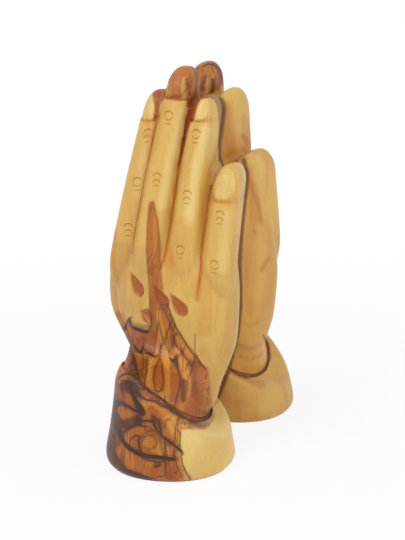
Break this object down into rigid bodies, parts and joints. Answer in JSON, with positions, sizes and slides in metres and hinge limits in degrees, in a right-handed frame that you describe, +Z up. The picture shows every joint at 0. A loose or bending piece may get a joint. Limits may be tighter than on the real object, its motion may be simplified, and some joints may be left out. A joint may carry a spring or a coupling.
{
  "type": "praying hands statue",
  "caption": "Carved wooden statue of hands pressed together in prayer, rising from flared cuffs with flat feet and an open arch between the wrists.",
  "frame": {"origin": "on the table under the middle of the statue's bounding box", "axes": "+Z up to the fingertips; the palms meet in the plane X = 0 and the backs of the hands face -X and +X; the thumbs are on the +Y side and the little fingers on the -Y side"},
  "size_m": [0.1564, 0.082, 0.1999],
  "materials": {
    "olive_wood": "satin polished, strongly figured grain"
  },
  "bodies": {
    "root": {"praying_hands": "olive_wood"}
  },
  "joints": []
}
